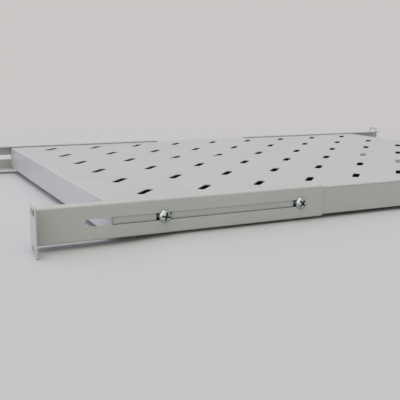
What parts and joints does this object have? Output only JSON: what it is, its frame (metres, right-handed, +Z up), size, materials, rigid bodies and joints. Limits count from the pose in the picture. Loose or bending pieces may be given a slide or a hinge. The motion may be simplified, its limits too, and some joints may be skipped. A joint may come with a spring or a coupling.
{
  "type": "rack shelf",
  "caption": "Perforated sheet-steel shelf for a nineteen-inch rack, with sliding slotted side rails that end in bolt-on ears.",
  "frame": {"origin": "on the surface that the ears stand on, in the middle of the shelf's outline", "axes": "+X across the shelf to its right-hand side, +Y from front to rear, +Z up"},
  "size_m": [0.4826, 0.764, 0.0436],
  "materials": {
    "tray_paint": "light grey powder coat, fine texture, satin",
    "rail_paint": "light grey powder coat, fine texture, satin",
    "zinc_screw": "bright zinc plating",
    "zinc_nut": "zinc plating"
  },
  "bodies": {
    "tray": {"shelf_tray": "tray_paint", "front_left_outer_screw": "zinc_screw", "front_left_inner_screw": "zinc_screw", "front_right_outer_screw": "zinc_screw", "front_right_inner_screw": "zinc_screw", "rear_left_outer_screw": "zinc_screw", "rear_left_inner_screw": "zinc_screw", "rear_right_outer_screw": "zinc_screw", "rear_right_inner_screw": "zinc_screw", "front_left_outer_nut": "zinc_nut", "front_left_inner_nut": "zinc_nut", "front_right_outer_nut": "zinc_nut", "front_right_inner_nut": "zinc_nut", "rear_left_outer_nut": "zinc_nut", "rear_left_inner_nut": "zinc_nut", "rear_right_outer_nut": "zinc_nut", "rear_right_inner_nut": "zinc_nut"},
    "front_left_rail": {"front_left_rail": "rail_paint"},
    "front_right_rail": {"front_right_rail": "rail_paint"},
    "rear_left_rail": {"rear_left_rail": "rail_paint"},
    "rear_right_rail": {"rear_right_rail": "rail_paint"}
  },
  "joints": [
    {"name": "front_left_slide", "type": "slide", "parent": "tray", "child": "front_left_rail", "axis": [0, -1, 0], "range_m": [-0.072, 0]},
    {"name": "front_right_slide", "type": "slide", "parent": "tray", "child": "front_right_rail", "axis": [0, -1, 0], "range_m": [-0.072, 0]},
    {"name": "rear_left_slide", "type": "slide", "parent": "tray", "child": "rear_left_rail", "axis": [0, 1, 0], "range_m": [-0.072, 0]},
    {"name": "rear_right_slide", "type": "slide", "parent": "tray", "child": "rear_right_rail", "axis": [0, 1, 0], "range_m": [-0.072, 0]}
  ]
}
